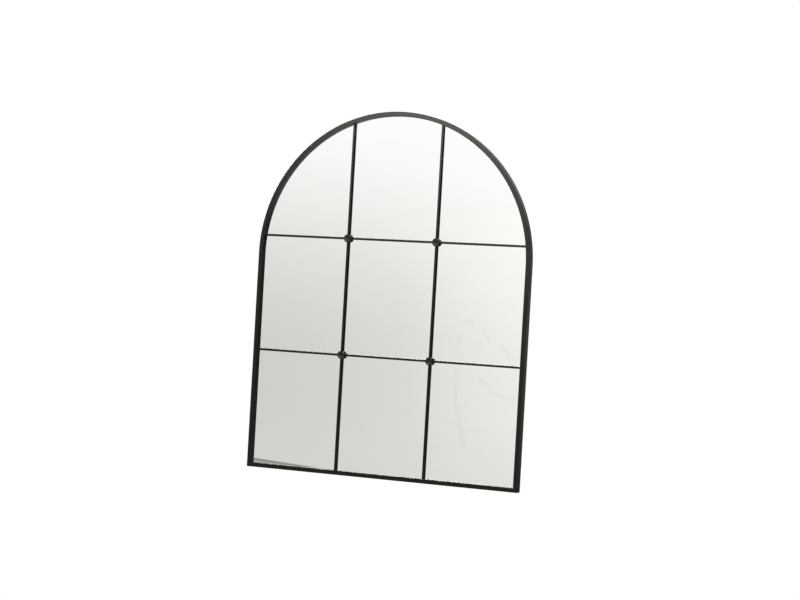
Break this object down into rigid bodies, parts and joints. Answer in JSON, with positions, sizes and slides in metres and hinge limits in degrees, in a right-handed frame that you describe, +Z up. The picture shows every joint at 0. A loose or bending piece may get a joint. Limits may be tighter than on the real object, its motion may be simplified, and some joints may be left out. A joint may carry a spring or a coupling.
{
  "type": "arched window mirror",
  "caption": "Wall mirror with an arched black metal frame, glazing bars with rosettes at their crossings, and keyhole hangers on the back.",
  "frame": {"origin": "on the wall plane, midway between the entry holes of the two keyhole hangers", "axes": "+X to the viewer's right, +Y into the wall, +Z up; the mirror faces -Y"},
  "size_m": [0.8, 0.0248, 0.9999],
  "materials": {
    "frame_paint": "satin black powder coat",
    "bar_paint": "satin black powder coat",
    "rosette_iron": "satin black",
    "black_screw": "satin black",
    "mirror": "silvered",
    "board": "raw fibreboard",
    "tape": "foam",
    "button_steel": "zinc plated",
    "lug_paint": "satin black powder coat",
    "zinc_fastener": "zinc plated",
    "hanger_paint": "satin black powder coat",
    "bumper": "matt"
  },
  "bodies": {
    "frame": {"arch_rail": "frame_paint", "backing_board": "board", "bottom_rail": "frame_paint", "button_lugs": "lug_paint", "button_screws": "zinc_fastener", "button_washers": "zinc_fastener", "glazing_tape": "tape", "keyhole_hanger_left": "hanger_paint", "keyhole_hanger_right": "hanger_paint", "left_stile": "frame_paint", "left_upright_bar": "bar_paint", "lower_bar_centre": "bar_paint", "lower_bar_left": "bar_paint", "lower_bar_right": "bar_paint", "mirror_glass": "mirror", "right_stile": "frame_paint", "right_upright_bar": "bar_paint", "rosette_lower_left": "rosette_iron", "rosette_lower_right": "rosette_iron", "rosette_screws": "black_screw", "rosette_upper_left": "rosette_iron", "rosette_upper_right": "rosette_iron", "upper_bar_centre": "bar_paint", "upper_bar_left": "bar_paint", "upper_bar_right": "bar_paint", "wall_bumper_left": "bumper", "wall_bumper_right": "bumper"},
    "turn_button_left_low": {"turn_button_left_low": "button_steel"},
    "turn_button_left_high": {"turn_button_left_high": "button_steel"},
    "turn_button_arch_left": {"turn_button_arch_left": "button_steel"},
    "turn_button_arch_right": {"turn_button_arch_right": "button_steel"},
    "turn_button_right_high": {"turn_button_right_high": "button_steel"},
    "turn_button_right_low": {"turn_button_right_low": "button_steel"},
    "turn_button_bottom_left": {"turn_button_bottom_left": "button_steel"},
    "turn_button_bottom_right": {"turn_button_bottom_right": "button_steel"}
  },
  "joints": [
    {"name": "turn_button_left_low_swivel", "type": "hinge", "parent": "frame", "child": "turn_button_left_low", "pos_m": [-0.394, -0.0045, -0.41], "axis": [0, 1, 0], "range_deg": [-90, 90]},
    {"name": "turn_button_left_high_swivel", "type": "hinge", "parent": "frame", "child": "turn_button_left_high", "pos_m": [-0.394, -0.0045, -0.11], "axis": [0, 1, 0], "range_deg": [-90, 90]},
    {"name": "turn_button_arch_left_swivel", "type": "hinge", "parent": "frame", "child": "turn_button_arch_left", "pos_m": [-0.2786, -0.0045, 0.3186], "axis": [0, 1, 0], "range_deg": [-90, 90]},
    {"name": "turn_button_arch_right_swivel", "type": "hinge", "parent": "frame", "child": "turn_button_arch_right", "pos_m": [0.2786, -0.0045, 0.3186], "axis": [0, 1, 0], "range_deg": [-90, 90]},
    {"name": "turn_button_right_high_swivel", "type": "hinge", "parent": "frame", "child": "turn_button_right_high", "pos_m": [0.394, -0.0045, -0.11], "axis": [0, 1, 0], "range_deg": [-90, 90]},
    {"name": "turn_button_right_low_swivel", "type": "hinge", "parent": "frame", "child": "turn_button_right_low", "pos_m": [0.394, -0.0045, -0.41], "axis": [0, 1, 0], "range_deg": [-90, 90]},
    {"name": "turn_button_bottom_left_swivel", "type": "hinge", "parent": "frame", "child": "turn_button_bottom_left", "pos_m": [-0.2, -0.0045, -0.554], "axis": [0, 1, 0], "range_deg": [-90, 90]},
    {"name": "turn_button_bottom_right_swivel", "type": "hinge", "parent": "frame", "child": "turn_button_bottom_right", "pos_m": [0.2, -0.0045, -0.554], "axis": [0, 1, 0], "range_deg": [-90, 90]}
  ]
}
